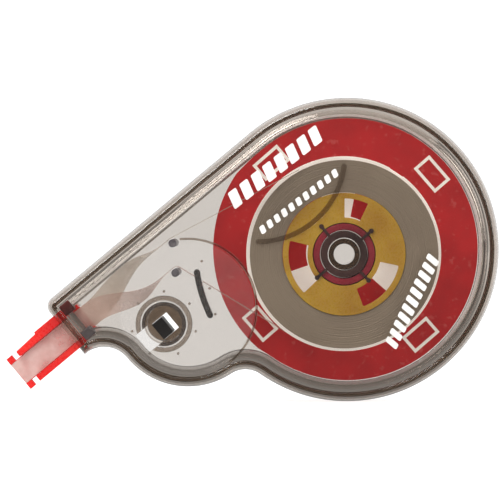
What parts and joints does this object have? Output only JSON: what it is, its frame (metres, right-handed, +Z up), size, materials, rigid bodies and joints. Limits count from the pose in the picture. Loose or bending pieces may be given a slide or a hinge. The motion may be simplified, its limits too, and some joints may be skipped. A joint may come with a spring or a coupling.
{
  "type": "correction tape roller",
  "caption": "Flat drop-shaped correction tape roller: clear smoky case, supply and take-up reels on one axle, and a red head whose blade lays down the tape.",
  "frame": {"origin": "the middle of the round end, on the flat back face of the back cover", "axes": "+X to the right seen from the front, away from the nose; +Y out of the back face; +Z up; the front face looks along -Y"},
  "size_m": [0.0872, 0.015, 0.0536],
  "materials": {
    "smoky_case": "clear smoky brown-grey polystyrene, glossy, with fine moulding marks",
    "label_print": "red printed label with plain white square outlines, slightly scuffed",
    "pin_plastic": "dark smoky plastic pin",
    "black_plastic": "black moulded plastic",
    "amber_plastic": "amber yellow translucent plastic",
    "wound_tape": "edge of wound tape, grey with fine turns",
    "crimson_plastic": "crimson moulded plastic",
    "cream_plastic": "cream white moulded plastic",
    "used_liner": "thin translucent release liner",
    "felt": "pressed grey felt",
    "red_plastic": "bright red moulded plastic",
    "dark_retainer": "dark red-black moulded plastic",
    "grey_retainer": "grey smoky moulded plastic",
    "fresh_tape": "white correction tape on its liner"
  },
  "bodies": {
    "case": {"front_cover": "smoky_case", "back_cover": "smoky_case", "label_disc": "label_print", "guide_pin_feed": "pin_plastic", "guide_pin_return": "pin_plastic", "snap_catch": "black_plastic", "transfer_head": "red_plastic", "head_blade": "red_plastic", "head_retainer_upper": "dark_retainer", "head_retainer_lower": "grey_retainer", "tape_feed_run": "fresh_tape", "liner_return_run": "used_liner"},
    "supply": {"supply_core": "amber_plastic", "tape_coil": "wound_tape", "core_bush": "crimson_plastic"},
    "take_up": {"take_up_reel": "cream_plastic", "take_up_flange": "cream_plastic", "take_up_liner_wrap": "used_liner", "clutch_felt": "felt", "friction_spider": "black_plastic"}
  },
  "joints": [
    {"name": "supply_spin", "type": "hinge", "parent": "case", "child": "supply", "pos_m": [-0.0005, 0, -0.0008], "axis": [0, -1, 0], "continuous": true},
    {"name": "take_up_spin", "type": "hinge", "parent": "case", "child": "take_up", "pos_m": [-0.0005, 0, -0.0008], "axis": [0, -1, 0], "continuous": true}
  ],
  "couplings": [
    {"joint": "take_up_spin", "follows": "supply_spin", "ratio": 0.976}
  ]
}
